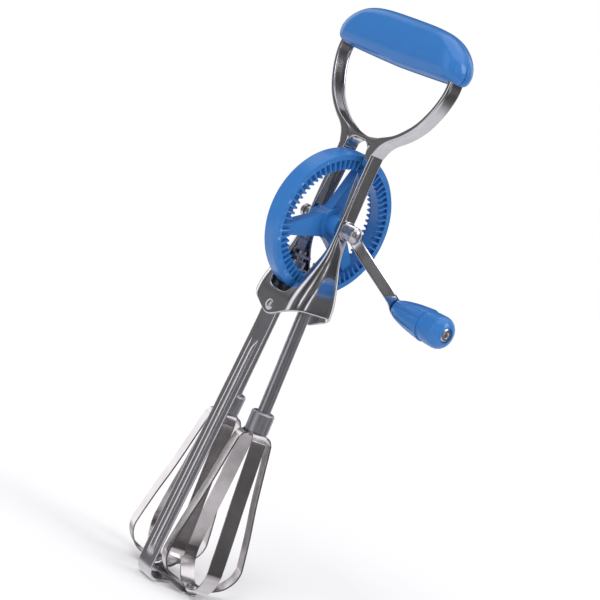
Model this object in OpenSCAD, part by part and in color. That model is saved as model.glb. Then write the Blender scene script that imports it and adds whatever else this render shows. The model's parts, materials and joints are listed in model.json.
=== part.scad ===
// Hand-cranked rotary egg beater.
// The crank turns about X, the tool stands along Z, and the gear wheel lies in the YZ plane.
// The origin is on the tool's middle line, at the underside of its foot.

/* [Overall] */
// Height of the crank axle above the foot's underside
axle_z = 201; // [199:0.5:203]
// Diameter of the gear wheel
wheel_d = 76; // [75:0.5:76.5]
// Thickness of the frame's sheet metal
sheet = 1.1; // [1:0.05:1.2]

/* [Grip] */
// Half the grip's length, along X
grip_half = 45; // [43:0.5:46]
// Half the grip's depth, along Y
grip_depth = 10.5; // [9.5:0.5:12]

/* [Gears] */
// Teeth on each face of the gear wheel
wheel_teeth = 64; // [60:4:64]
// Teeth on each pinion
pinion_teeth = 11; // [10:1:11]
// Middle radius of the wheel's ring of teeth
mesh_r = 31.5; // [31:0.1:32]
// Distance of a wheel's pitch face from the middle plane
pitch_x = 4.1; // [4:0.05:4.2]

/* [Crank] */
// Distance from the axle to the knob's spindle
crank_len = 45.8; // [44:0.1:46]
// Angle of the crank below the +Y axis, at rest
crank_angle = 35; // [0:1:60]
// Length of the knob
knob_len = 37; // [34:1:40]
// Radius of the knob at its widest
knob_r = 8.7; // [8:0.1:9]

/* [Beaters] */
// Angle of each beater's shaft from the vertical
splay = 2.2; // [2:0.1:2.3]
// Radius of a beater's shaft
shaft_r = 3.35; // [3.2:0.05:3.4]
// Largest radius of a beater
beater_r = 21; // [20:0.25:21]
// Width of a beater's strip
strip_w = 7.8; // [7:0.1:8]
// Thickness of a beater's strip
strip_t = 0.8; // [0.7:0.05:0.9]

/* [Stay bar] */
// Width of the stay bar
bar_w = 12; // [11:0.5:12]
// Thickness of the stay bar
bar_t = 1.3; // [1.2:0.05:1.4]

/* [Hidden] */
$fn = 48;
eps = 0.01;
run_gap = 0.05;

// Heights below are measured from the axle, so the foot's underside is at -axle_z.
wheel_r = wheel_d / 2;
pitch = 2 * PI * mesh_r / wheel_teeth;
pinion_r = pitch * pinion_teeth / (2 * PI);
shaft_x = pitch_x + pinion_r;
addendum = 0.85;
dedendum = 1.0;
tooth_half = 0.62;
tooth_slope = 0.28;
teeth_in = 28.9;
teeth_out = 34;
ring_in = 29.2;

leg_w = 9;
flange_y = 3.4;
plate_z = -42;
plate_t = 1.2;
shelf_z = -22.4;
shelf_t = 1.4;
web_y = 15.2;
corner_r = 11;
rivet_z = -48.6;

axle_r = 2.1;
bush_r = 3.2;
leg_x = 13.2;
arm_x = 17.4;
arm_t = 1.2;
knob_x = 31.5;
spindle_r = 1.9;

collar_top = 68.5;
loop_top = 78.9;
loop_low = 166.6;
journal_r = 2.1;
pin_r = 1.6;
blade_phase = -22.5;
foot_t = 1.2;
foot_w = 9;

// Smooth curve through a list of points, with n steps between neighbours.
function curve(p, n = 4) = [
    for (i = [0 : len(p) - 2], k = [0 : n - 1])
        let (
            a = p[max(i - 1, 0)],
            b = p[i],
            c = p[i + 1],
            d = p[min(i + 2, len(p) - 1)],
            t = k / n
        )
        0.5 * (2 * b + (c - a) * t + (2 * a - 5 * b + 4 * c - d) * t * t
            + (3 * b - a - 3 * c + d) * t * t * t),
    p[len(p) - 1]
];

// The same line moved sideways by d: to the left of its direction when d is positive.
function beside(p, d) = [
    for (i = [0 : len(p) - 1])
        let (t = p[min(i + 1, len(p) - 1)] - p[max(i - 1, 0)])
        p[i] + d * [-t[1], t[0]] / norm(t)
];

function reversed(p) = [for (i = [len(p) - 1 : -1 : 0]) p[i]];
function mirrored(p) = [for (q = reversed(p)) if (q[0] > 0.001) [-q[0], q[1]]];

// A closed outline from its right half, which starts or ends on the middle line.
function both_sides(p) = concat(p, mirrored(p));

// Right half of the frame's upper loop, from the strap inside the grip down to the leg.
loop_half = curve([
    [0, 98.4], [24, 98.4], [36, 96.2], [41, 90], [42, 82.5], [40.5, 75], [37.8, 68], [34, 61.2],
    [29.6, 56], [24, 51.2], [18.5, 47.6], [14.8, 43.6], [13, 38]
]);

// Right half of the hand opening.
opening_half = curve([
    [0, 94.6], [24, 94.4], [34.8, 92.4], [38.7, 87.5], [39.5, 81.5], [38.1, 75], [35.4, 68.4], [31.5, 62],
    [26.7, 57], [20, 51.8], [10.4, 48], [0, 46.7]
]);

// Outer faces of a leg and of the gear housing below it, seen along Y.
leg_side = curve([
    [13, 38], [12.8, 24], [leg_x, 4], [13.6, -7], [14.8, -16], [16, -22.5], [17.2, -29.5], [17.8, -36],
    [18, -43]
]);

// Outer faces of the same leg and housing, seen along X.
leg_edge = curve([
    [leg_w / 2, 38], [leg_w / 2, 20], [leg_w / 2, 0], [4.7, -8], [5.6, -15], [7.9, -21], [11.2, -29],
    [14, -36.5], [web_y, -43]
]);

// Half of the slot that the wheel turns in.
slot_half = curve([[0, 44.4], [4.6, 44], [7.4, 41], [8, 36], [9, 20], [10.8, 4], [11, -8], [10, -20],
    [8.6, -31], [7.4, -37.6], [4.6, -39.5], [0, -39.6]]);

// Half of the pointed lower edge of the two webs.
web_low = [[0, -53.4], [2.4, -52.9], [8, -50], [13.5, -47], [18.5, -44.4]];

function low_end(p, z) = concat(p, [[p[len(p) - 1][0], z]]);

module at_axle() {
    translate([0, 0, axle_z]) children();
}

// Extrudes a profile drawn as (x, z) along Y, centred on Y = 0.
module along_y(width) {
    rotate([90, 0, 0]) linear_extrude(width, center = true) children();
}

// Extrudes a profile drawn as (y, z) along X, centred on X = 0.
module along_x(width) {
    rotate([90, 0, 90]) linear_extrude(width, center = true) children();
}

// A round bar along X from x0 to x1.
module rod_x(r, x0, x1) {
    translate([x0, 0, 0]) rotate([0, 90, 0]) cylinder(r = r, h = x1 - x0);
}

// Turns a profile, drawn as (x, radius), about the X axis.
module turned_x(p) {
    rotate([0, 90, 0]) rotate_extrude() polygon([for (q = p) [q[1], q[0]]]);
}

module rounded_box(x, y, r, z0, z1) {
    translate([0, 0, z0]) linear_extrude(z1 - z0) {
        square([2 * x - 2 * r, 2 * y], center = true);
        square([2 * x, 2 * y - 2 * r], center = true);
        for (sx = [-1, 1], sy = [-1, 1]) {
            translate([sx * (x - r), sy * (y - r)]) circle(r);
        }
    }
}

// The legs and housing as one closed shape, inset by d from the outer faces.
module body_shape(d, top, low) {
    side = low_end(beside(leg_side, -d), low);
    edge = low_end(beside(leg_edge, -d), low);
    intersection() {
        along_y(2 * web_y + 10) polygon(both_sides([for (q = side) [q[0], min(q[1], top)]]));
        along_x(60) polygon(both_sides([for (q = edge) [q[0], min(q[1], top)]]));
        rounded_box(18 - d, web_y - d, corner_r - d, low, top);
    }
}

module cavity() {
    body_shape(sheet, 37.9, -56);
}

module frame_loop() {
    difference() {
        along_y(leg_w) polygon(both_sides(loop_half));
        along_y(leg_w + 1) polygon(both_sides(opening_half));
        along_y(2 * flange_y) intersection() {
            polygon(both_sides(beside(loop_half, -1.3)));
            translate([-60, 52]) square([120, 60]);
        }
    }
}

module frame() {
    color("gainsboro") at_axle() {
        difference() {
            union() {
                frame_loop();
                body_shape(0, 38 + eps, -55);
            }
            cavity();
            along_y(40) polygon(both_sides(slot_half));
            along_y(40) polygon(concat(
                web_low,
                [[30, -44.4], [30, -80], [-30, -80], [-30, -44.4]],
                mirrored(web_low)
            ));
            rod_x(bush_r, -20, 20);
            translate([0, 0, rivet_z]) rotate([90, 0, 0]) cylinder(r = 1.5, h = 30);
        }
    }
}

// Whole grip, before it is split into its two shells.
module grip_body() {
    hull() {
        for (s = [-1, 1]) {
            translate([s * (grip_half - 6.5), 0, 91.5]) sphere(6.5, $fn = 32);
            translate([s * (grip_half - 9), 0, 93.5]) sphere(8.6, $fn = 32);
            translate([s * (grip_half - 15), 0, 97.2]) sphere(9.8, $fn = 32);
            translate([s * 18, 0, 98.6]) sphere(grip_depth, $fn = 32);
            translate([s * 20, 0, 94.2]) sphere(grip_depth, $fn = 32);
        }
        translate([0, 0, 99.2]) sphere(grip_depth, $fn = 32);
        translate([0, 0, 93.2]) sphere(grip_depth, $fn = 32);
    }
}

// Four pegs that locate the shells, from inside the front one to y1 in the back one.
module grip_pegs(r, y1) {
    for (x = [-20, 20], z = [90, 103]) {
        translate([x, -1, z]) rotate([-90, 0, 0]) cylinder(r = r, h = y1 + 1, $fn = 24);
    }
}

module grip_shell(side) {
    gap = 0.1;
    difference() {
        intersection() {
            grip_body();
            translate([-60, side > 0 ? 0 : -30, 60]) cube([120, 30, 60]);
        }
        along_y(leg_w + 2 * gap) difference() {
            polygon(both_sides(beside(loop_half, gap)));
            polygon(both_sides(beside(opening_half, -gap)));
        }
    }
}

module grip_front() {
    color("steelblue") at_axle() {
        grip_shell(-1);
        grip_pegs(2, 5);
    }
}

module grip_back() {
    color("steelblue") at_axle() difference() {
        grip_shell(1);
        grip_pegs(2.05, 5.2);
    }
}

// A plain bush in the leg, for the axle. Its inner end is the stop for the wheel's hub.
module axle_bush(side) {
    color("goldenrod") at_axle() mirror([side > 0 ? 0 : 1, 0, 0]) {
        difference() {
            rod_x(bush_r, leg_x - sheet - 1.6, leg_x + 0.3);
            rod_x(axle_r + run_gap, 0, 20);
        }
    }
}

// Carries a beater's parts: z = 0 at the middle of its pinion, and the shaft along z.
module at_beater(side) {
    translate([side * shaft_x, 0, axle_z - mesh_r]) rotate([0, -side * splay, 0]) children();
}

module beater_bore(side, r) {
    at_beater(side) translate([0, 0, -200]) cylinder(r = r, h = 250);
}

// A small shelf across the inside of a leg, which holds the top of a beater's shaft.
module upper_bearing(side) {
    color("silver") difference() {
        at_axle() intersection() {
            cavity();
            union() {
                translate([side > 0 ? 6.4 : -26.4, -5.2, shelf_z]) cube([20, 10.4, shelf_t]);
                translate([side > 0 ? 11.6 : -26.6, -3.2, shelf_z]) cube([15, 6.4, 9]);
            }
        }
        beater_bore(side, journal_r + run_gap);
    }
}

module bearing_plate() {
    color("silver") difference() {
        at_axle() intersection() {
            cavity();
            translate([-30, -30, plate_z - plate_t]) cube([60, 60, plate_t]);
        }
        beater_bore(1, shaft_r + run_gap);
        beater_bore(-1, shaft_r + run_gap);
    }
}

bar_top = plate_z - plate_t - 0.3;
bar_y = -(web_y - sheet - bar_t / 2);
bar_bend = 7;
bar_mid_z = -(axle_z - foot_t / 2);
bar_line = concat(
    [[bar_y, bar_top], [bar_y, -58]],
    [[-20.9, -183], [-21.4, bar_mid_z + bar_bend]],
    [for (a = [15 : 15 : 90]) [-21.4 + bar_bend * (1 - cos(a)), bar_mid_z + bar_bend * (1 - sin(a))]],
    [[-foot_w / 2, bar_mid_z]]
);

// The stay bar: one strip from the housing's web down to the foot, with a bead pressed along it.
module stay_bar() {
    bead_top = [-15.35, -69];
    bead_low = [-21.35, -186];
    bead = bead_top - bead_low;
    bead_r = 1.5;
    color("gainsboro") at_axle() difference() {
        union() {
            along_x(bar_w) polygon(concat(
                beside(bar_line, bar_t / 2),
                reversed(beside(bar_line, -bar_t / 2))
            ));
            translate([0, bead_low[0], bead_low[1]]) rotate([-atan2(bead[0], bead[1]), 0, 0])
                rotate_extrude($fn = 24) polygon(concat(
                    [for (a = [-90 : 30 : 0]) [bead_r * cos(a), bead_r * sin(a)]],
                    [for (a = [0 : 30 : 90]) [bead_r * cos(a), norm(bead) + bead_r * sin(a)]]
                ));
        }
        translate([0, 0, rivet_z]) rotate([90, 0, 0]) cylinder(r = 1.5, h = 30);
    }
}

module stay_rivet() {
    inside = web_y - sheet - bar_t;
    color("silver") at_axle() translate([0, 0, rivet_z]) rotate([90, 0, 0]) {
        translate([0, 0, inside - 1]) cylinder(r = 1.5, h = web_y - inside + 1.2);
        translate([0, 0, inside - 1]) cylinder(r = 2.6, h = 1);
        translate([0, 0, web_y]) intersection() {
            cylinder(r = 2.9, h = 1.3);
            translate([0, 0, -2.6]) sphere(3.9);
        }
    }
}

module foot_plate() {
    end_x = shaft_x + (axle_z - mesh_r) * tan(splay) - 1.2;
    color("gainsboro") difference() {
        union() {
            translate([-end_x, -foot_w / 2, 0]) cube([2 * end_x, foot_w, foot_t]);
            for (s = [-1, 1]) {
                translate([s * end_x, 0, 0]) cylinder(r = foot_w / 2, h = foot_t);
            }
        }
        beater_bore(1, pin_r + run_gap);
        beater_bore(-1, pin_r + run_gap);
    }
}

module axle() {
    color("silver") at_axle() {
        rod_x(axle_r, -18.4, 20.2);
        rod_x(3.4, -19.4, -17.2);
        rod_x(3, -16.2, -14);
    }
}

// Half-width of a wheel's tooth at a distance x from the wheel's middle plane.
function tooth_at(x) = tooth_half - tooth_slope * (x - pitch_x);

module wheel_tooth() {
    tip = pitch_x + addendum;
    root = pitch_x - dedendum - 0.2;
    rotate([90, 0, 90]) translate([0, 0, teeth_in]) linear_extrude(teeth_out - teeth_in + 0.3)
        polygon([
            [-tooth_at(root), root], [tooth_at(root), root],
            [tooth_at(tip), tip], [-tooth_at(tip), tip]
        ]);
}

// The wheel is drawn flat, then stood up to turn about X.
module gear_wheel() {
    tip = pitch_x + addendum;
    root = pitch_x - dedendum;
    spoke_t = 5.4;
    spoke_edge = [[0, -7.6], [9, -5.6], [ring_in + 0.3, -3]];
    color("steelblue") at_axle() rotate([90, 0, 90]) difference() {
        union() {
            rotate_extrude($fn = 120) polygon([
                [ring_in, -root], [teeth_out, -root], [teeth_out, -tip], [wheel_r - 1.3, -tip],
                [wheel_r, -tip + 1.6], [wheel_r, tip - 1.6], [wheel_r - 1.3, tip], [teeth_out, tip],
                [teeth_out, root], [ring_in, root]
            ]);
            for (k = [0 : wheel_teeth - 1], m = [0, 1]) {
                mirror([0, 0, m]) rotate([0, 0, (k + 0.5) * 360 / wheel_teeth]) wheel_tooth();
            }
            for (a = [80, 200, 320]) {
                rotate([0, 0, a]) linear_extrude(spoke_t, center = true)
                    polygon(concat(spoke_edge, [for (q = reversed(spoke_edge)) [q[0], -q[1]]]));
            }
            cylinder(r = 8.4, h = 8, center = true);
            cylinder(r = 5.6, h = 20.6, center = true);
        }
        cylinder(r = axle_r, h = 30, center = true);
    }
}

module crank_washer() {
    color("silver") at_axle() difference() {
        rod_x(4.9, leg_x + 0.5, leg_x + 1.5);
        rod_x(axle_r, 0, 30);
    }
}

module crank_spacer() {
    color("silver") at_axle() difference() {
        rod_x(3.9, leg_x + 1.5, arm_x);
        rod_x(axle_r, 0, 30);
    }
}

// Turns things drawn with the crank along +Y to its angle at rest.
module at_crank() {
    at_axle() rotate([-crank_angle, 0, 0]) children();
}

knob_web = knob_x - 0.6 - arm_t;

// Inner face of the crank's strip: distance from the axle against X.
arm_face = [[-4, arm_x], [5, arm_x], [crank_len - 6, knob_web], [crank_len + 3.4, knob_web]];

// Extrudes a profile drawn as (distance from axle, x) across the crank's strip.
module arm_profile(p, width) {
    linear_extrude(width, center = true) polygon([for (q = p) [q[1], q[0]]]);
}

module crank_arm() {
    arm_w = 7.3;
    lip = 2.2;
    web = concat(arm_face, reversed([for (q = arm_face) [q[0], q[1] + arm_t]]));
    run = [[6.5, arm_x], [crank_len - 6, knob_web], [crank_len - 5, knob_web]];
    lips = concat(
        [for (q = run) [q[0], q[1] + 0.2]],
        [[crank_len - 5, knob_web - 0.4], [crank_len - 8, knob_web - lip], [9, arm_x - lip + 0.4]]
    );
    color("gainsboro") at_crank() difference() {
        intersection() {
            union() {
                arm_profile(web, arm_w);
                for (s = [-1, 1]) {
                    translate([0, 0, s * (arm_w - 0.9) / 2]) arm_profile(lips, 0.9);
                }
            }
            union() {
                rod_x(4.1, 10, 30);
                translate([0, crank_len, 0]) rod_x(arm_w / 2, 10, 40);
                translate([10, 0, -arm_w / 2]) cube([30, crank_len, arm_w]);
            }
        }
        rod_x(axle_r, 0, 40);
        translate([0, crank_len, 0]) rod_x(spindle_r, 0, 40);
    }
}

module crank_nut() {
    color("silver") at_axle() difference() {
        translate([arm_x + arm_t, 0, 0]) turned_x(concat(
            [[0, 0], [0, 4.1], [2, 4.1], [2.3, 3.6]],
            [for (a = [75 : -15 : 0]) [2.3 + 2 * cos(a), 3.6 * sin(a)]]
        ));
        rod_x(axle_r, 0, 20.2);
    }
}

knob_end = knob_x + knob_len;
head_deep = 1.6;

module knob_spindle() {
    head_x = knob_end - head_deep + 0.25;
    shoulder_r = 2.9;
    color("silver") at_crank() translate([0, crank_len, 0]) turned_x([
        [knob_web - 1.2, 0], [knob_web - 1.2, 2], [knob_web - 0.8, shoulder_r], [knob_web, shoulder_r],
        [knob_web, spindle_r], [knob_web + arm_t, spindle_r], [knob_web + arm_t, shoulder_r],
        [knob_x - 0.25, shoulder_r], [knob_x - 0.25, spindle_r], [head_x, spindle_r], [head_x, 3.6],
        [head_x + 0.7, 3.6], [head_x + 1.1, 2.9], [head_x + 1.3, 1.6], [head_x + 0.9, 1.2], [head_x + 0.9, 0]
    ]);
}

// The knob is turned about its spindle, tapers towards the crank, and has flutes on its taper.
module knob() {
    step = knob_len * 0.62;
    outline = curve([
        [0, 3.9], [1, 4.7], [knob_len * 0.15, 6.1], [knob_len * 0.36, 7.6], [step, knob_r]
    ], 5);
    dome_r = 5.2;
    dome = [for (a = [0 : 15 : 75]) [knob_len - dome_r + dome_r * sin(a), knob_r - dome_r + 5 * cos(a)]];
    profile = concat(
        [[0, 0]],
        outline,
        [[step + 0.1, knob_r - 0.7], [step + 4, knob_r - 0.3]],
        dome,
        [[knob_len, 4.2], [knob_len, 0]]
    );
    color("steelblue") at_crank() translate([knob_x, crank_len, 0]) difference() {
        rotate([0, 90, 0]) rotate_extrude($fn = 64) polygon([for (q = profile) [q[1], q[0]]]);
        rod_x(spindle_r + run_gap, -1, knob_len + 1);
        rod_x(3.9, knob_len - head_deep, knob_len + 1);
        for (k = [0 : 7]) {
            rotate([45 * k + 22.5, 0, 0]) translate([2, 0, 6.3]) rotate([0, 80, 0])
                cylinder(r = 1.5, h = step - 3, $fn = 16);
        }
    }
}

// Outline of a pinion: straight-sided teeth, with the first tooth pointing along +x.
function pinion_outline() = [
    for (k = [0 : pinion_teeth - 1])
        let (a = 360 * k / pinion_teeth, half = 360 / pinion_teeth / 4)
        for (q = [
            [pinion_r - dedendum, -half * 1.5], [pinion_r, -half * 0.82], [pinion_r + addendum, -half * 0.34],
            [pinion_r + addendum, half * 0.34], [pinion_r, half * 0.82], [pinion_r - dedendum, half * 1.5]
        ])
            q[0] * [cos(a + q[1]), sin(a + q[1])]
];

module pinion(side) {
    teeth_top = 3.6;
    teeth_low = -2.1;
    color("silver") at_beater(side) difference() {
        union() {
            translate([0, 0, teeth_low]) linear_extrude(teeth_top - teeth_low)
                rotate(side > 0 ? 180 : 0) polygon(pinion_outline());
            translate([0, 0, -9.6]) cylinder(r = 4, h = 17);
        }
        translate([0, 0, -20]) cylinder(r = journal_r, h = 40);
        translate([0, 0, -20]) cylinder(r = shaft_r, h = 23);
    }
}

module shaft(side) {
    color("silver") at_beater(side) {
        translate([0, 0, -loop_top]) cylinder(r = shaft_r, h = loop_top + 3);
        cylinder(r = journal_r, h = 12.4);
        translate([0, 0, -loop_top - 2 * strip_t - 1.2]) cylinder(r = 2, h = 4);
        translate([0, 0, -loop_top - 2 * strip_t - 1.2]) cylinder(r = 3, h = 1.2);
    }
}

module collar(side) {
    color("darkgray") at_beater(side) difference() {
        union() {
            translate([0, 0, -loop_top]) cylinder(r = 6.1, h = loop_top - collar_top - 0.8);
            translate([0, 0, -collar_top - 0.8]) cylinder(r1 = 6.1, r2 = 5.3, h = 0.8);
        }
        translate([0, 0, -100]) cylinder(r = shaft_r, h = 60);
    }
}

// Outer line of one side of a beater's loop, from its flat top to its flat foot.
// lift brings both flats inwards, so that a second loop crosses inside the first.
function loop_side(lift) = concat(
    [[0, -loop_top - lift]],
    curve([
        [5, -loop_top - lift], [7.4, -loop_top - lift - 0.8], [8.9, -82.2 - lift * 0.5], [10, -86.4],
        [beater_r * 0.68, -113], [beater_r * 0.86, -131.5], [beater_r * 0.985, -147], [beater_r, -151.5],
        [beater_r * 0.94, -156.2], [beater_r * 0.76, -161.1], [beater_r * 0.52, -164.6 + lift * 0.8],
        [4.6, -loop_low + lift]
    ]),
    [[0, -loop_low + lift]]
);

module loop(side, lift, turn) {
    outer = both_sides(loop_side(lift));
    inner = both_sides(beside(loop_side(lift), -strip_t));
    color("gainsboro") at_beater(side) rotate([0, 0, blade_phase + turn]) difference() {
        along_y(strip_w) difference() {
            polygon(outer);
            polygon(inner);
        }
        translate([0, 0, -loop_top - 5]) cylinder(r = 2, h = 10);
        translate([0, 0, -loop_low - 5]) cylinder(r = pin_r, h = 10);
    }
}

module pivot(side) {
    pin_low = (axle_z - mesh_r) / cos(splay) - 0.15;
    shoulder_low = (axle_z - mesh_r - foot_t) / cos(splay) - 0.25;
    color("silver") at_beater(side) {
        translate([0, 0, -pin_low]) cylinder(r = pin_r, h = pin_low - loop_low + 2.4);
        translate([0, 0, -shoulder_low]) cylinder(r = 2.6, h = shoulder_low - loop_low);
        translate([0, 0, -loop_low + 2 * strip_t]) cylinder(r = 2.9, h = 1.1);
    }
}

module axle_bush_right() { axle_bush(1); }
module axle_bush_left() { axle_bush(-1); }
module upper_bearing_right() { upper_bearing(1); }
module upper_bearing_left() { upper_bearing(-1); }
module pinion_right() { pinion(1); }
module pinion_left() { pinion(-1); }
module shaft_right() { shaft(1); }
module shaft_left() { shaft(-1); }
module collar_right() { collar(1); }
module collar_left() { collar(-1); }
module outer_loop_right() { loop(1, 0, 0); }
module outer_loop_left() { loop(-1, 0, 0); }
module inner_loop_right() { loop(1, strip_t, 90); }
module inner_loop_left() { loop(-1, strip_t, 90); }
module pivot_right() { pivot(1); }
module pivot_left() { pivot(-1); }

frame();
grip_front();
grip_back();
axle_bush_right();
axle_bush_left();
upper_bearing_right();
upper_bearing_left();
bearing_plate();
stay_bar();
stay_rivet();
foot_plate();
axle();
gear_wheel();
crank_washer();
crank_spacer();
crank_arm();
crank_nut();
knob_spindle();
knob();
pinion_right();
shaft_right();
collar_right();
outer_loop_right();
inner_loop_right();
pivot_right();
pinion_left();
shaft_left();
collar_left();
outer_loop_left();
inner_loop_left();
pivot_left();
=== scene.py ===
"""Rotary egg beater: looks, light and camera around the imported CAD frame."""
import json
import math

import bpy
from mathutils import Matrix, Vector

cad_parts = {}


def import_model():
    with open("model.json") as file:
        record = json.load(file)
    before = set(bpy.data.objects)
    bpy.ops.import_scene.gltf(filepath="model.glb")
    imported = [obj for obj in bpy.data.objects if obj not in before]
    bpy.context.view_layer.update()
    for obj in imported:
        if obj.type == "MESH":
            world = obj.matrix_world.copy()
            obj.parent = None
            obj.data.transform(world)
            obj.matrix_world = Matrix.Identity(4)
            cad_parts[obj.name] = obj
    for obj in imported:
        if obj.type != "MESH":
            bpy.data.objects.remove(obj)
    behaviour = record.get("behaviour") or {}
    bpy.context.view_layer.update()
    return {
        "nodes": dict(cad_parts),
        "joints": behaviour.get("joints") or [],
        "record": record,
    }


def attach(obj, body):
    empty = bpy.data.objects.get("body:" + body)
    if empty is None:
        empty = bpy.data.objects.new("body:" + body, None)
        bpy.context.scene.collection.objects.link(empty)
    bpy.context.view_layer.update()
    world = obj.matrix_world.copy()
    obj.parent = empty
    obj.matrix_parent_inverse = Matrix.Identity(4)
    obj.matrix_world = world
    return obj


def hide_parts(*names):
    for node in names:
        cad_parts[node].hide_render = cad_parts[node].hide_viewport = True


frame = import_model()
MM = 0.001

NODES = frame["nodes"]
SLOT = {part["node"]: part["material_slot"] for part in frame["record"]["subparts"]}
JOINT = {joint["name"]: joint for joint in frame["joints"]}
AXLE = Vector(JOINT["crank_spin"]["pos_m"])
# The point on the knob's axis where the knob starts, in millimetres from the axle's middle.
KNOB = (Vector(JOINT["knob_spin"]["pos_m"]) - AXLE) / MM


# ---------------------------------------------------------------- materials


EVEN_GRAIN = (1, 1, 1)
ALONG_Z = (1, 1, 0.03)


class Shade:
    """A Principled material and short ways to add nodes to it."""

    def __init__(self, name, **values):
        self.mat = bpy.data.materials.new(name)
        self.mat.use_nodes = True
        self.tree = self.mat.node_tree
        self.bsdf = self.tree.nodes["Principled BSDF"]
        for key, value in values.items():
            self.bsdf.inputs[key.replace("_", " ")].default_value = value
        self.coords = self.tree.nodes.new("ShaderNodeTexCoord").outputs["Object"]

    def node(self, kind, links=None, **settings):
        """Adds a node. A setting is one of its properties, or the value of one of its sockets."""
        made = self.tree.nodes.new("ShaderNode" + kind)
        for key, value in settings.items():
            if hasattr(made, key):
                setattr(made, key, value)
            else:
                made.inputs[key.replace("_", " ")].default_value = value
        for key, source in (links or {}).items():
            self.tree.links.new(source, made.inputs[key])
        return made

    def link(self, source, socket):
        """Feeds one of the material's own sockets."""
        self.tree.links.new(source, self.bsdf.inputs[socket])

    def noise(self, scale, detail=3.0, stretch=EVEN_GRAIN, roughness=0.5):
        """The value of a noise in the object's own space; a small stretch draws it out along that axis."""
        place = self.node("Mapping", {"Vector": self.coords}, Scale=stretch)
        made = self.node("TexNoise", {"Vector": place.outputs[0]}, Scale=scale, Detail=detail, Roughness=roughness)
        return made.outputs[0]

    def range_of(self, source, low, high):
        """A value from 0 to 1, spread from low to high."""
        made = self.node("MapRange", {"Value": source})
        made.inputs["To Min"].default_value = low
        made.inputs["To Max"].default_value = high
        return made.outputs[0]

    def mixed(self, factor, first, second):
        """A colour between two others."""
        made = self.node("Mix", {"Factor": factor}, data_type="RGBA")
        made.inputs[6].default_value = (*first, 1)
        made.inputs[7].default_value = (*second, 1)
        return made.outputs[2]

    def bump(self, height, strength, distance, under=None):
        """A bumped normal, which may add to the one under it."""
        links = {"Height": height}
        if under is not None:
            links["Normal"] = under
        return self.node("Bump", links, Strength=strength, Distance=distance).outputs[0]


def blue_plastic(name):
    """Glossy moulded plastic: faint mottling, fine grain and small changes in gloss."""
    colour = (0.034, 0.176, 0.49)
    mottling = 0.07
    shade = Shade(name, IOR=1.46, Specular_IOR_Level=0.42, Coat_Weight=0.12, Coat_Roughness=0.08)
    darker, lighter = ([c * (1 + change) for c in colour] for change in (-mottling, mottling))
    shade.link(shade.mixed(shade.noise(90, 4), darker, lighter), "Base Color")
    shade.link(shade.range_of(shade.noise(420, 5), 0.16, 0.32), "Roughness")
    shade.link(shade.bump(shade.noise(1500, 2), 0.25, 0.00006), "Normal")
    return shade.mat


def steel(name, colour, rough, grain, scale=900, depth=0.00002, wear=0.06):
    """Bright metal: slow waves from pressing, drawn lines along the grain, cloudy polish and fine scratches.
    rough is the middle roughness, wear is how far it changes, and scale and depth are those of the lines."""
    shade = Shade(name, Metallic=1.0)
    tarnished = [c * 0.8 for c in colour]
    cloud = shade.range_of(shade.noise(70, 5, roughness=0.6), -0.6, 1.6)
    shade.link(shade.mixed(cloud, tarnished, colour), "Base Color")
    lines = shade.noise(scale, 4, stretch=grain)
    smudges = shade.noise(150, 4)
    finish = shade.node("Math", {0: lines, 1: smudges}, operation="ADD")
    shade.link(shade.range_of(finish.outputs[0], max(rough - 1.6 * wear, 0.02), rough + 1.2 * wear), "Roughness")
    waves = shade.bump(shade.noise(130, 1), 0.6, 0.00012)
    shade.link(shade.bump(lines, 0.5, depth, under=waves), "Normal")
    return shade.mat


MATERIALS = {
    "polished_steel": steel("polished_steel", (0.72, 0.72, 0.75), 0.1, ALONG_Z, wear=0.035, depth=0.000006),
    "plain_steel": steel("plain_steel", (0.66, 0.66, 0.7), 0.22, EVEN_GRAIN),
    "brushed_steel": steel("brushed_steel", (0.5, 0.5, 0.54), 0.26, ALONG_Z),
    "blade_steel": steel("blade_steel", (0.68, 0.655, 0.665), 0.14, ALONG_Z),
    "cast_zinc": steel("cast_zinc", (0.5, 0.51, 0.55), 0.34, EVEN_GRAIN, scale=500, depth=0.00005),
    "bush_metal": steel("bush_metal", (0.6, 0.5, 0.3), 0.28, EVEN_GRAIN),
    "bar_steel": steel("bar_steel", (0.74, 0.73, 0.77), 0.2, ALONG_Z, wear=0.05),
    "blue_plastic": blue_plastic("blue_plastic"),
}
# Nodes whose finish differs from their slot's.
OWN_FINISH = {"foot_plate": "bar_steel"}
# Widths of the rounded edges, and how close points have to be to be joined, in millimetres.
BEVEL = {"gear_wheel": 0.16, "foot_plate": 0.3}
PLAIN_BEVEL = 0.2
JOIN_WITHIN = 0.02


def finish_cad(name):
    """Gives a CAD node its material, rounded edges and smooth shading."""
    obj = NODES[name]
    obj.data.materials.clear()
    obj.data.materials.append(MATERIALS[OWN_FINISH.get(name, SLOT[name])])
    for face in obj.data.polygons:
        face.use_smooth = True
    weld = obj.modifiers.new("weld", "WELD")
    weld.merge_threshold = JOIN_WITHIN * MM
    bevel = obj.modifiers.new("bevel", "BEVEL")
    bevel.width = BEVEL.get(name, PLAIN_BEVEL) * MM
    bevel.segments = 3
    bevel.limit_method = "ANGLE"
    bevel.angle_limit = math.radians(32)
    bevel.use_clamp_overlap = True
    normals = obj.modifiers.new("normals", "WEIGHTED_NORMAL")
    normals.keep_sharp = False


# ---------------------------------------------------------------- pieces built here
# Points are in millimetres from the axle's middle, with the frame's own axes.


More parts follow.
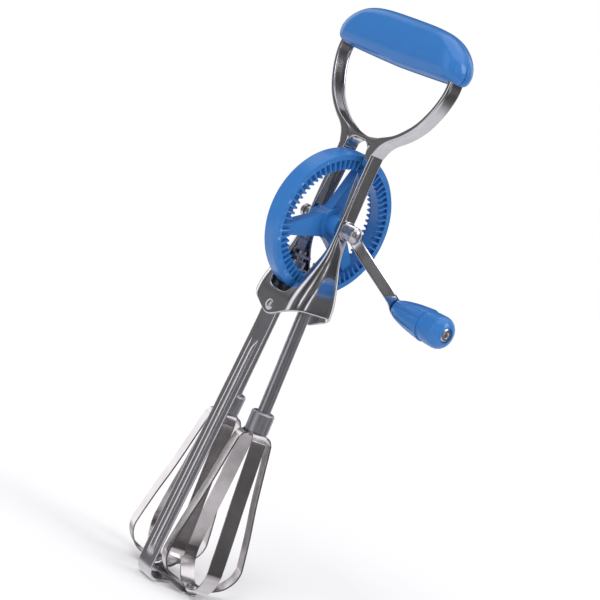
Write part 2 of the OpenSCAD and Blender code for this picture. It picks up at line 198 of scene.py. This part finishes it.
def curve(points, steps=4):
    """A smooth line through a list of points (Catmull-Rom)."""
    line = []
    for i in range(len(points) - 1):
        a, b = points[max(i - 1, 0)], points[i]
        c, d = points[i + 1], points[min(i + 2, len(points) - 1)]
        for k in range(steps):
            t = k / steps
            line.append(tuple(
                0.5 * (2 * q + (r - p) * t
                       + (2 * p - 5 * q + 4 * r - w) * t * t
                       + (3 * q - p - 3 * r + w) * t ** 3)
                for p, q, r, w in zip(a, b, c, d)
            ))
    line.append(tuple(points[-1]))
    return line


def along(line, key, value=1, by=0):
    """The value in column `value` where column `by` of a line passes key, for a line that runs one way."""
    for p, q in zip(line, line[1:]):
        if min(p[by], q[by]) <= key <= max(p[by], q[by]) and p[by] != q[by]:
            return p[value] + (q[value] - p[value]) * (key - p[by]) / (q[by] - p[by])
    return line[0][value] if abs(key - line[0][by]) < abs(key - line[-1][by]) else line[-1][value]


def limited(value):
    """The value, kept between 0 and 1."""
    return max(0.0, min(1.0, value))


def piece(name, points, faces, material, body="body", replaces=None):
    """A new smooth-shaded piece that rides on a body and may hide a CAD node."""
    mesh = bpy.data.meshes.new(name)
    mesh.from_pydata([AXLE + Vector(p) * MM for p in points], [], faces)
    mesh.validate()
    mesh.polygons.foreach_set("use_smooth", [True] * len(mesh.polygons))
    mesh.materials.append(MATERIALS[material])
    obj = bpy.data.objects.new(name, mesh)
    bpy.context.scene.collection.objects.link(obj)
    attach(obj, body)
    if replaces:
        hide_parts(replaces)
    return obj


def strip_faces(line, next_line, flip=False):
    """Faces between two lines of points, which are given by their numbers."""
    faces = [(a, b, d, c) for a, b, c, d in zip(line, line[1:], next_line, next_line[1:])]
    return [face[::-1] for face in faces] if flip else faces


def grid_faces(rows, columns, first=0, flip=False):
    """Faces of a grid whose points run row by row from number first."""
    lines = [range(first + r * columns, first + (r + 1) * columns) for r in range(rows)]
    return [face for line, next_line in zip(lines, lines[1:]) for face in strip_faces(line, next_line, flip)]


def thicken(obj, thickness, mirrored=False, quality=False):
    """Mirrors a piece across X if asked, then gives it its thickness behind its outer face."""
    if mirrored:
        obj.modifiers.new("mirror", "MIRROR").merge_threshold = JOIN_WITHIN * MM
    sheet = obj.modifiers.new("sheet", "SOLIDIFY")
    sheet.thickness = thickness * MM
    sheet.offset = -1
    sheet.use_quality_normals = quality


def rounded(obj):
    """One level of subdivision, which rounds a piece's edges."""
    subdivision = obj.modifiers.new("subdivision", "SUBSURF")
    subdivision.levels = subdivision.render_levels = 1


# Half of the depth of the hand loop and the legs.
LEG_EDGE_Y = 4.5
# Right half of the frame, as (x, z): the hand loop's outer line and opening, the bridge under the opening, the
# side of the leg and housing, the wheel's slot and the housing's lower edge. LEG_EDGE is (half depth, z).
LOOP_OUTER = curve([
    (0, 98.4), (24, 98.4), (36, 96.2), (41, 90), (42, 82.5), (40.5, 75), (37.8, 68), (34, 61.2), (29.6, 56),
    (24, 51.2), (18.5, 47.6), (14.8, 43.6), (13, 38),
], 16)
HAND_OPENING = curve([
    (0, 94.6), (24, 94.4), (34.8, 92.4), (38.7, 87.5), (39.5, 81.5), (38.1, 75), (35.4, 68.4), (31.5, 62),
    (26.7, 57), (20, 51.8), (10.4, 48),
], 3)
BRIDGE_TOP = curve([(10.4, 48), (5, 47), (0, 46.7)], 3)
BRIDGE_LOW = curve([(7.4, 41), (4.6, 44), (0, 44.4)], 3)
LEG_SIDE = curve([
    (12.95, 41), (13, 38), (12.8, 24), (13.2, 4), (13.6, -7), (14.8, -16), (16, -22.5), (17.2, -29.5),
    (17.8, -36), (18, -43), (18, -56),
])
LEG_EDGE = curve([
    (LEG_EDGE_Y, 41), (LEG_EDGE_Y, 20), (LEG_EDGE_Y, 0), (4.7, -8), (5.6, -15), (7.9, -21), (11.2, -29),
    (14, -36.5), (15.2, -43), (15.2, -56),
])
SLOT_SIDE = curve([(7.4, 41), (8, 36), (9, 20), (10.8, 4), (11, -8), (10, -20), (8.9, -30), (8.3, -33)])
SLOT_END = curve([(8.3, -33), (7.6, -36.6), (6, -38.7), (3.5, -39.5), (0, -39.7)])
WEB_LOW = curve([(0, -53.4), (2.4, -52.9), (8, -50), (13.5, -47), (18, -44.4)])
SHEET = 1.1
EDGE_CORNER = 1.35
HOUSING_CORNER = 12.5
# The corner radius grows from the edge's to the housing's, from this height down and over this distance.
HOUSING_TOP = 6
HOUSING_GROWTH = 44
HOUSING_EASE = 1.2
WEB_ROWS = 9
SMOOTHINGS = 6


def across_sheet(span, depth, corner):
    """Half of the line across the folded sheet: (distance from its inner edge, half depth), front edge first."""
    corner = min(corner, depth * 0.95, span * 0.8)
    half = [(t * (span - corner), depth) for t in (0, 0.2, 0.5, 0.8, 1.0)]
    for degrees in range(15, 91, 15):
        a = math.radians(degrees)
        half.append((span - corner + corner * math.sin(a), depth - corner + corner * math.cos(a)))
    return half + [(span, (depth - corner) * t) for t in (0.66, 0.33)]


def both_faces(half, span):
    """The whole line across the sheet, from its front edge round to its back edge."""
    return [(d, -y) for d, y in half] + [(span, 0)] + [(d, y) for d, y in reversed(half)]


def loop_row(inner, outer):
    """Points across the hand loop, between a point of its opening and one of its outer line."""
    (xi, zi), (xo, zo) = inner, outer
    span = math.hypot(xo - xi, zo - zi)
    row = both_faces(across_sheet(span, LEG_EDGE_Y, EDGE_CORNER), span)
    return [(xi + (xo - xi) * d / span, y, zi + (zo - zi) * d / span) for d, y in row]


def half_depth(z):
    """Half of the frame's depth at height z."""
    return along(LEG_EDGE, z, value=0, by=1)


def leg_section(z, inner):
    """A level line across a leg or the housing at height z, as (x, y) points."""
    span = along(LEG_SIDE, z, value=0, by=1) - inner
    grown = limited((HOUSING_TOP - z) / HOUSING_GROWTH)
    corner = EDGE_CORNER + (HOUSING_CORNER - EDGE_CORNER) * grown ** HOUSING_EASE
    return [(inner + d, y) for d, y in both_faces(across_sheet(span, half_depth(z), corner), span)]


def down_web(x, top, k):
    """The height of row k of a web's rows at x, from top down to its pointed lower edge."""
    return top + (along(WEB_LOW, x) - top) * k / WEB_ROWS


def even_outer(inners):
    """Places on the loop's outer line facing each inner point, spaced smoothly."""
    lengths = [0.0]
    for p, q in zip(LOOP_OUTER, LOOP_OUTER[1:]):
        lengths.append(lengths[-1] + math.dist(p, q))
    table = [(length, x, z) for length, (x, z) in zip(lengths, LOOP_OUTER)]
    places = []
    for inner in inners:
        nearest = min(range(len(LOOP_OUTER)), key=lambda k: math.dist(LOOP_OUTER[k], inner))
        places.append(lengths[nearest])
    for _ in range(SMOOTHINGS):
        inside = [(p + 2 * q + r) / 4 for p, q, r in zip(places, places[1:], places[2:])]
        places = [places[0], *inside, places[-1]]
    return [(along(table, s, value=1), along(table, s, value=2)) for s in places]


def frame_piece():
    """Hand loop, legs and gear housing: one pressed sheet with its edges folded inwards."""
    inners = HAND_OPENING + [SLOT_SIDE[0]]
    rows = [loop_row(inner, outer) for inner, outer in zip(inners, even_outer(inners))]
    for x, z in SLOT_SIDE[2:]:
        rows.append([(px, py, z) for px, py in leg_section(z, x)])
    slot_x, slot_z = SLOT_SIDE[-1]
    web_top = rows[-1]
    first_web_row = len(rows) - 1
    for k in range(1, WEB_ROWS + 1):
        heights = [down_web(x, slot_z, k) for x, _, _ in web_top]
        rows.append([(*leg_section(z, slot_x)[column], z) for column, z in enumerate(heights)])
    columns = len(web_top)
    points = [p for row in rows for p in row]
    faces = grid_faces(len(rows), columns, flip=True)

    def added(x, y, z):
        points.append((x, y, z))
        return len(points) - 1

    for column, side in ((0, -1), (columns - 1, 1)):
        # the web below the wheel's slot
        edge = [(first_web_row + k) * columns + column for k in range(WEB_ROWS + 1)]
        for x, top in SLOT_END[2::2]:
            heights = [down_web(x, top, k) for k in range(WEB_ROWS + 1)]
            inner = [added(x, side * half_depth(z), z) for z in heights]
            faces += strip_faces(edge, inner, flip=side < 0)
            edge = inner
        # the bridge between the hand opening and the wheel's slot
        first = (len(HAND_OPENING) - 1) * columns + column
        upper = [first] + [added(x, side * LEG_EDGE_Y, z) for x, z in BRIDGE_TOP[1:]]
        lower = [first + columns] + [added(x, side * LEG_EDGE_Y, z) for x, z in BRIDGE_LOW[1:]]
        faces += strip_faces(upper, lower, flip=side > 0)
    obj = piece("frame_sheet", points, faces, "polished_steel", replaces="frame")
    thicken(obj, SHEET, mirrored=True, quality=True)
    rounded(obj)


# How far the channel's floor lies behind the opening's edge, the height where it meets that edge above the bridge,
# and how much higher it reaches its full depth.
CHANNEL_DEPTH = 0.9
CHANNEL_FADE_LOW = 49
CHANNEL_FADE = 6
# The lining's thickness, its gap to each edge of the sheet, and the lowest point of the legs' root, as (x, z).
LINING = 0.5
LINING_GAP = 0.3
LEG_ROOT = (11.6, 36)


def frame_lining():
    """The smooth floor of the hand loop's channel, and the solid root where the two legs meet under it."""
    floor = []
    for inner, outer in zip(HAND_OPENING, even_outer(HAND_OPENING)):
        deep = CHANNEL_DEPTH * limited((inner[1] - CHANNEL_FADE_LOW) / CHANNEL_FADE)
        away = (Vector(outer) - Vector(inner)).normalized() * deep
        floor.append((inner[0] + away.x, inner[1] + away.y))
    floor += BRIDGE_TOP[1:]
    arch = [LEG_ROOT, *reversed(SLOT_SIDE[:4]), *BRIDGE_LOW[1:]]
    half_width = LEG_EDGE_Y - LINING_GAP
    across = [half_width * k / 2 for k in range(-2, 3)]
    points, faces = [], []
    for line, flip in ((floor, False), (arch, True)):
        faces += grid_faces(len(line), len(across), len(points), flip)
        points += [(x, y, z) for x, z in line for y in across]
    obj = piece("frame_lining", points, faces, "polished_steel")
    thicken(obj, LINING, mirrored=True)
    rounded(obj)


# Right half of the grip's outline, as (x, z).
GRIP_OUTLINE = curve([
    (0, 109), (18, 108.7), (29, 107), (37, 102.8), (42.2, 97.6), (44.5, 92.6), (44.4, 88.6), (42.6, 86.3),
    (37, 85.2), (20, 84.5), (0, 84),
], 5)
GRIP_DEPTH = 10.4
# The grip's rings shrink towards a level line, of this height and half length.
GRIP_MIDDLE = 96.4
GRIP_SPINE = 29.1
# Half the width of the groove between the grip's two halves.
SEAM = 0.22
# Rings along the seam: distance from its plane, and size.
SEAM_RINGS = [(0.0, 0.945), (SEAM * 0.7, 0.952), (SEAM, 0.966), (SEAM + 0.12, 0.988), (SEAM + 0.4, 0.999)]
# The crown stops a part of a ring short of its middle. Its powers would both be 1 on a plain oval section.
CROWN_RINGS = 16
CROWN_SHORT = 0.6
DEPTH_POWER = 0.82
SIZE_POWER = 0.8


def grip_shell(name, side):
    """Half of the grip: a crowned pillow on the seam plane, with a small rounded lip along the seam."""
    outline = GRIP_OUTLINE + [(-x, z) for x, z in reversed(GRIP_OUTLINE[1:-1])]
    count = len(outline)
    rings = list(SEAM_RINGS)
    for k in range(CROWN_RINGS):
        t = math.radians(90 * (k + 1) / (CROWN_RINGS + CROWN_SHORT))
        rings.append((GRIP_DEPTH * math.sin(t) ** DEPTH_POWER, math.cos(t) ** SIZE_POWER))
    points = []
    for y, scale in rings:
        for x, z in outline:
            middle_x = max(-GRIP_SPINE, min(GRIP_SPINE, x * 0.97))
            points.append((middle_x + (x - middle_x) * scale, side * y, GRIP_MIDDLE + (z - GRIP_MIDDLE) * scale))
    faces = []
    ring_points = [[r * count + c for c in (*range(count), 0)] for r in range(len(rings))]
    for ring, next_ring in zip(ring_points, ring_points[1:]):
        faces += strip_faces(ring, next_ring, flip=side < 0)
    # caps on the seam plane and over the crown
    for first, outward in ((ring_points[0][0], -side), (ring_points[-1][0], side)):
        for k in range(len(GRIP_OUTLINE) - 1):
            left, left_next = (count - k) % count, (count - k - 1) % count
            corners = list(dict.fromkeys([first + k, first + k + 1, first + left_next, first + left]))
            faces.append(tuple(corners) if outward > 0 else tuple(reversed(corners)))
    obj = piece(name + "_shell", points, faces, "blue_plastic", replaces=name)
    rounded(obj)


# The crank strip's outer face: its x beside the axle and beside the knob, and how fast it rises between them.
ARM_NEAR = 18.6
ARM_FAR = KNOB.x - 0.6
ARM_RISE = (ARM_FAR - ARM_NEAR) / 34.8
# The same face as (distance along the crank, x).
ARM_FACE = curve([
    (-4.1, ARM_NEAR), (4.2, ARM_NEAR), (9, ARM_NEAR + 2.4 * ARM_RISE), (14, ARM_NEAR + 6.6 * ARM_RISE),
    (20, ARM_NEAR + 13.2 * ARM_RISE), (33.5, ARM_NEAR + 28.5 * ARM_RISE), (37.5, ARM_FAR - 2.4 * ARM_RISE),
    (41, ARM_FAR), (49.9, ARM_FAR),
])
ARM_SHEET = 1.15
# Half widths of the strip's ends and of its middle, and the distance over which one becomes the other.
ARM_END = 4.1
ARM_WAIST = 3.3
ARM_TAPER = 6
# How far the edges turn back, and the share of the end's half width that stays flat.
ARM_CURL = 0.55
ARM_FLAT = 0.62
ARM_ROWS = 44
ARM_COLUMNS = 11
CRANK_ANGLE = math.atan2(-KNOB.z, KNOB.y)


def crank_arm_piece():
    """The crank's strip: rounded ends, a narrower middle and edges turned back."""
    first, last = ARM_FACE[0][0], ARM_FACE[-1][0]
    cos_crank, sin_crank = math.cos(CRANK_ANGLE), math.sin(CRANK_ANGLE)
    points = []
    for r in range(ARM_ROWS + 1):
        t = 0.5 - 0.5 * math.cos(math.pi * (r + 0.25) / (ARM_ROWS + 0.5))
        d = first + (last - first) * t
        x = along(ARM_FACE, d)
        from_end = min(d - first, last - d)
        cap = math.sqrt(max(0.0, 1 - (1 - min(from_end / ARM_END, 1)) ** 2))
        pinch = limited((from_end - ARM_END) / ARM_TAPER)
        half = (ARM_END + (ARM_WAIST - ARM_END) * pinch * pinch * (3 - 2 * pinch)) * cap
        for c in range(ARM_COLUMNS):
            u = 2 * c / (ARM_COLUMNS - 1) - 1
            w = half * math.sin(u * math.pi / 2)
            curl = ARM_CURL * max(0.0, (abs(w) / ARM_END - ARM_FLAT) / (1 - ARM_FLAT)) ** 2
            points.append((x - curl, d * cos_crank + w * sin_crank, w * cos_crank - d * sin_crank))
    faces = grid_faces(ARM_ROWS + 1, ARM_COLUMNS, flip=True)
    obj = piece("crank_strip", points, faces, "polished_steel", "crank", replaces="crank_arm")
    thicken(obj, ARM_SHEET)
    rounded(obj)


# The middle of the stay bar's thickness, as (y, z), from the housing down to the foot.
BAR_LINE = [
    (-13.45, -43.5), (-13.45, -50), (-13.45, -55), (-13.6, -60), (-14.1, -69), (-20.9, -183), (-21.4, -193.4),
    (-21.16, -195.21), (-20.46, -196.9), (-19.35, -198.35), (-17.9, -199.46), (-16.21, -200.16), (-14.4, -200.4),
    (-9.5, -200.4), (-4.5, -200.4),
]
BAR_ROW = 2.4
BAR_SHEET = 1.3
# Half widths of the bar and of its flat part, and how far its edges turn back.
BAR_HALF = 6
BAR_FLAT = 5.2
BAR_CURL = 0.45
# Places across the bar's right half, closer together at the bead's edge and at the bar's.
BAR_PLACES = [0, 0.7, 1.35, 1.9, 2.3, 2.5, 2.9, 4.2, 5.3, 5.75, 5.95, BAR_HALF]
# The bead's half width and height, the heights where it ends, and the length over which it rises there.
BEAD_HALF = 2.5
BEAD_HEIGHT = 1.15
BEAD_TOP = -68
BEAD_LOW = -187.5
BEAD_FADE = 2.5


def stay_bar_piece():
    """The stay bar: a strip with rounded edges, a half-round bead pressed along it and a rolled foot."""
    line = []
    for p, q in zip(BAR_LINE, BAR_LINE[1:]):
        steps = max(1, round(math.dist(p, q) / BAR_ROW))
        line += [tuple(a + (b - a) * k / steps for a, b in zip(p, q)) for k in range(steps)]
    line.append(BAR_LINE[-1])
    across = [-x for x in reversed(BAR_PLACES[1:])] + BAR_PLACES
    points = []
    for i, (y, z) in enumerate(line):
        before, after = line[max(i - 1, 0)], line[min(i + 1, len(line) - 1)]
        run = math.dist(before, after)
        out_y, out_z = (after[1] - before[1]) / run, (before[0] - after[0]) / run
        bead_here = BEAD_HEIGHT * limited(min(BEAD_TOP - z, z - BEAD_LOW) / BEAD_FADE)
        for x in across:
            bead = bead_here * math.sqrt(max(0.0, 1 - (x / BEAD_HALF) ** 2))
            curl = BAR_CURL * max(0.0, (abs(x) - BAR_FLAT) / (BAR_HALF - BAR_FLAT)) ** 2
            lift = BAR_SHEET / 2 + bead - curl
            points.append((x, y + out_y * lift, z + out_z * lift))
    faces = grid_faces(len(line), len(across), flip=True)
    obj = piece("stay_strip", points, faces, "bar_steel", replaces="stay_bar")
    thicken(obj, BAR_SHEET)
    rounded(obj)


frame_piece()
frame_lining()
stay_bar_piece()
crank_arm_piece()
grip_shell("grip_front", -1)
grip_shell("grip_back", 1)
for node_name in NODES:
    finish_cad(node_name)


# ---------------------------------------------------------------- room, light and camera


def room():
    """A plain pale floor, left out of mirror images so that polished metal shows the studio."""
    rim = 72
    radius = 4.0
    mesh = bpy.data.meshes.new("floor")
    turns = [math.tau * k / rim for k in range(rim)]
    mesh.from_pydata([(radius * math.cos(t), radius * math.sin(t), 0) for t in turns], [], [tuple(range(rim))])
    floor = bpy.data.objects.new("floor", mesh)
    bpy.context.scene.collection.objects.link(floor)
    shade = Shade("pale_floor", Roughness=0.7, Specular_IOR_Level=0.2)
    shade.link(shade.mixed(shade.noise(14, 3), (0.92, 0.92, 0.93), (0.95, 0.95, 0.95)), "Base Color")
    mesh.materials.append(shade.mat)
    floor.visible_glossy = False


def world(surround, dim, overhead, floor_light, boxes):
    """The camera sees plain white, and even light comes from all round. Mirror-like surfaces see a dim studio
    instead, with upright soft boxes, one overhead and light from the floor."""
    # how soft the lower and upper edges of the upright boxes are
    soft_low, soft_high = 0.04, 0.05
    made = bpy.data.worlds.new("studio")
    bpy.context.scene.world = made
    made.use_nodes = True
    tree = made.node_tree
    tree.nodes.clear()

    def node(kind, *sources, **settings):
        added = tree.nodes.new("ShaderNode" + kind)
        for key, value in settings.items():
            setattr(added, key, value)
        for socket, source in zip(added.inputs, sources):
            if isinstance(source, (int, float)):
                socket.default_value = source
            elif source is not None:
                tree.links.new(source, socket)
        return added

    def maths(operation, *sources):
        return node("Math", *sources, operation=operation).outputs[0]

    def between(value, low, high, to_low=0.0, to_high=1.0):
        return node("MapRange", value, low, high, to_low, to_high, interpolation_type="SMOOTHSTEP").outputs[0]

    ray = node("LightPath")
    coords = node("TexCoord").outputs["Generated"]
    x, y, z = node("SeparateXYZ", coords).outputs
    angle = maths("ARCTAN2", y, x)
    # the studio's walls, unevenly dim
    clouds = node("TexNoise", coords)
    clouds.inputs["Scale"].default_value = 2.6
    clouds.inputs["Detail"].default_value = 3.0
    light = between(clouds.outputs[0], 0.35, 0.68, dim * 0.45, dim * 1.8)
    for azimuth, half_width, soft, low, high, strength in boxes:
        turned = maths("SUBTRACT", angle, math.radians(azimuth))
        away = maths("ABSOLUTE", maths("WRAP", turned, math.pi, -math.pi))
        across = between(away, math.radians(half_width - soft), math.radians(half_width + soft), 1.0, 0.0)
        over_low = between(z, low - soft_low, low + soft_low)
        under_high = between(z, high - soft_high, high + soft_high, 1.0, 0.0)
        upright = maths("MULTIPLY", over_low, under_high)
        light = maths("ADD", light, maths("MULTIPLY", maths("MULTIPLY", across, upright), strength))
    light = maths("ADD", light, between(z, 0.72, 0.85, 0.0, overhead))
    light = maths("ADD", light, between(z, -0.5, -0.3, floor_light, 0.0))
    studio = node("Background", None, light)
    plain = node("Background", None, surround)
    behind = node("Background", None, 1.0)
    for background, tint in ((studio, 0.98), (plain, 0.98), (behind, 1)):
        background.inputs["Color"].default_value = (1, tint, 1, 1)
    mix = node("MixShader", ray.outputs["Is Glossy Ray"], plain.outputs[0], studio.outputs[0])
    shown = node("MixShader", ray.outputs["Is Camera Ray"], mix.outputs[0], behind.outputs[0])
    node("OutputWorld", shown.outputs[0])


def sun(name, azimuth, elevation, strength, angle, glossy=True):
    """A broad soft light from far away, which polished metal may be kept from mirroring. Azimuth 0 is +X."""
    data = bpy.data.lights.new(name, "SUN")
    data.energy = strength
    data.angle = math.radians(angle)
    obj = bpy.data.objects.new(name, data)
    a, e = math.radians(azimuth), math.radians(elevation)
    source = Vector((math.cos(a) * math.cos(e), math.sin(a) * math.cos(e), math.sin(e)))
    obj.rotation_euler = source.to_track_quat("Z", "Y").to_euler()
    obj.location = AXLE + source
    obj.visible_glossy = glossy
    bpy.context.scene.collection.objects.link(obj)


def camera(azimuth, elevation, roll, distance, lens, aim):
    """Azimuth 0 looks along +Y, and roll leans the tool's top to the right.
    aim is how far the picture's middle lies from the axle, to the picture's right and up."""
    a, e = math.radians(azimuth), math.radians(elevation)
    back = Vector((math.sin(a) * math.cos(e), -math.cos(a) * math.cos(e), math.sin(e)))
    right = Vector((math.cos(a), math.sin(a), 0))
    up = back.cross(right)
    turn = Matrix.Rotation(math.radians(roll), 3, back)
    right, up = turn @ right, turn @ up
    data = bpy.data.cameras.new("camera")
    data.lens = lens
    data.clip_start = 0.01
    obj = bpy.data.objects.new("camera", data)
    place = AXLE + back * distance + right * aim[0] + up * aim[1]
    obj.matrix_world = Matrix.Translation(place) @ Matrix((right, up, back)).transposed().to_4x4()
    bpy.context.scene.collection.objects.link(obj)
    bpy.context.scene.camera = obj


# Upright soft boxes: azimuth from +X, half width and soft edge in degrees, lowest and highest z of the direction,
# and strength.
BOXES = [
    (-96, 12, 5, -0.3, 0.6, 1.1),
    (-31, 6, 1.5, -0.02, 0.45, 1.15),
    (27, 5, 2, -0.14, 0.1, 1.2),
    (29, 7.5, 1.5, 0.24, 0.66, 1.25),
    (94, 13, 8, -0.35, 0.7, 1.0),
    (180, 16, 9, -0.35, 0.7, 1.25),
    (-136, 14, 10, -0.35, 0.4, 0.08),
]
room()
world(surround=0.68, dim=0.1, overhead=1.4, floor_light=0.75, boxes=BOXES)
sun("key", azimuth=-75, elevation=50, strength=1.3, angle=30, glossy=False)
sun("fill", azimuth=30, elevation=35, strength=0.8, angle=30)
camera(azimuth=44.9, elevation=6.7, roll=23.9, distance=0.815, lens=97.8, aim=(-0.01466, -0.03889))
bpy.context.scene.view_settings.view_transform = "Standard"
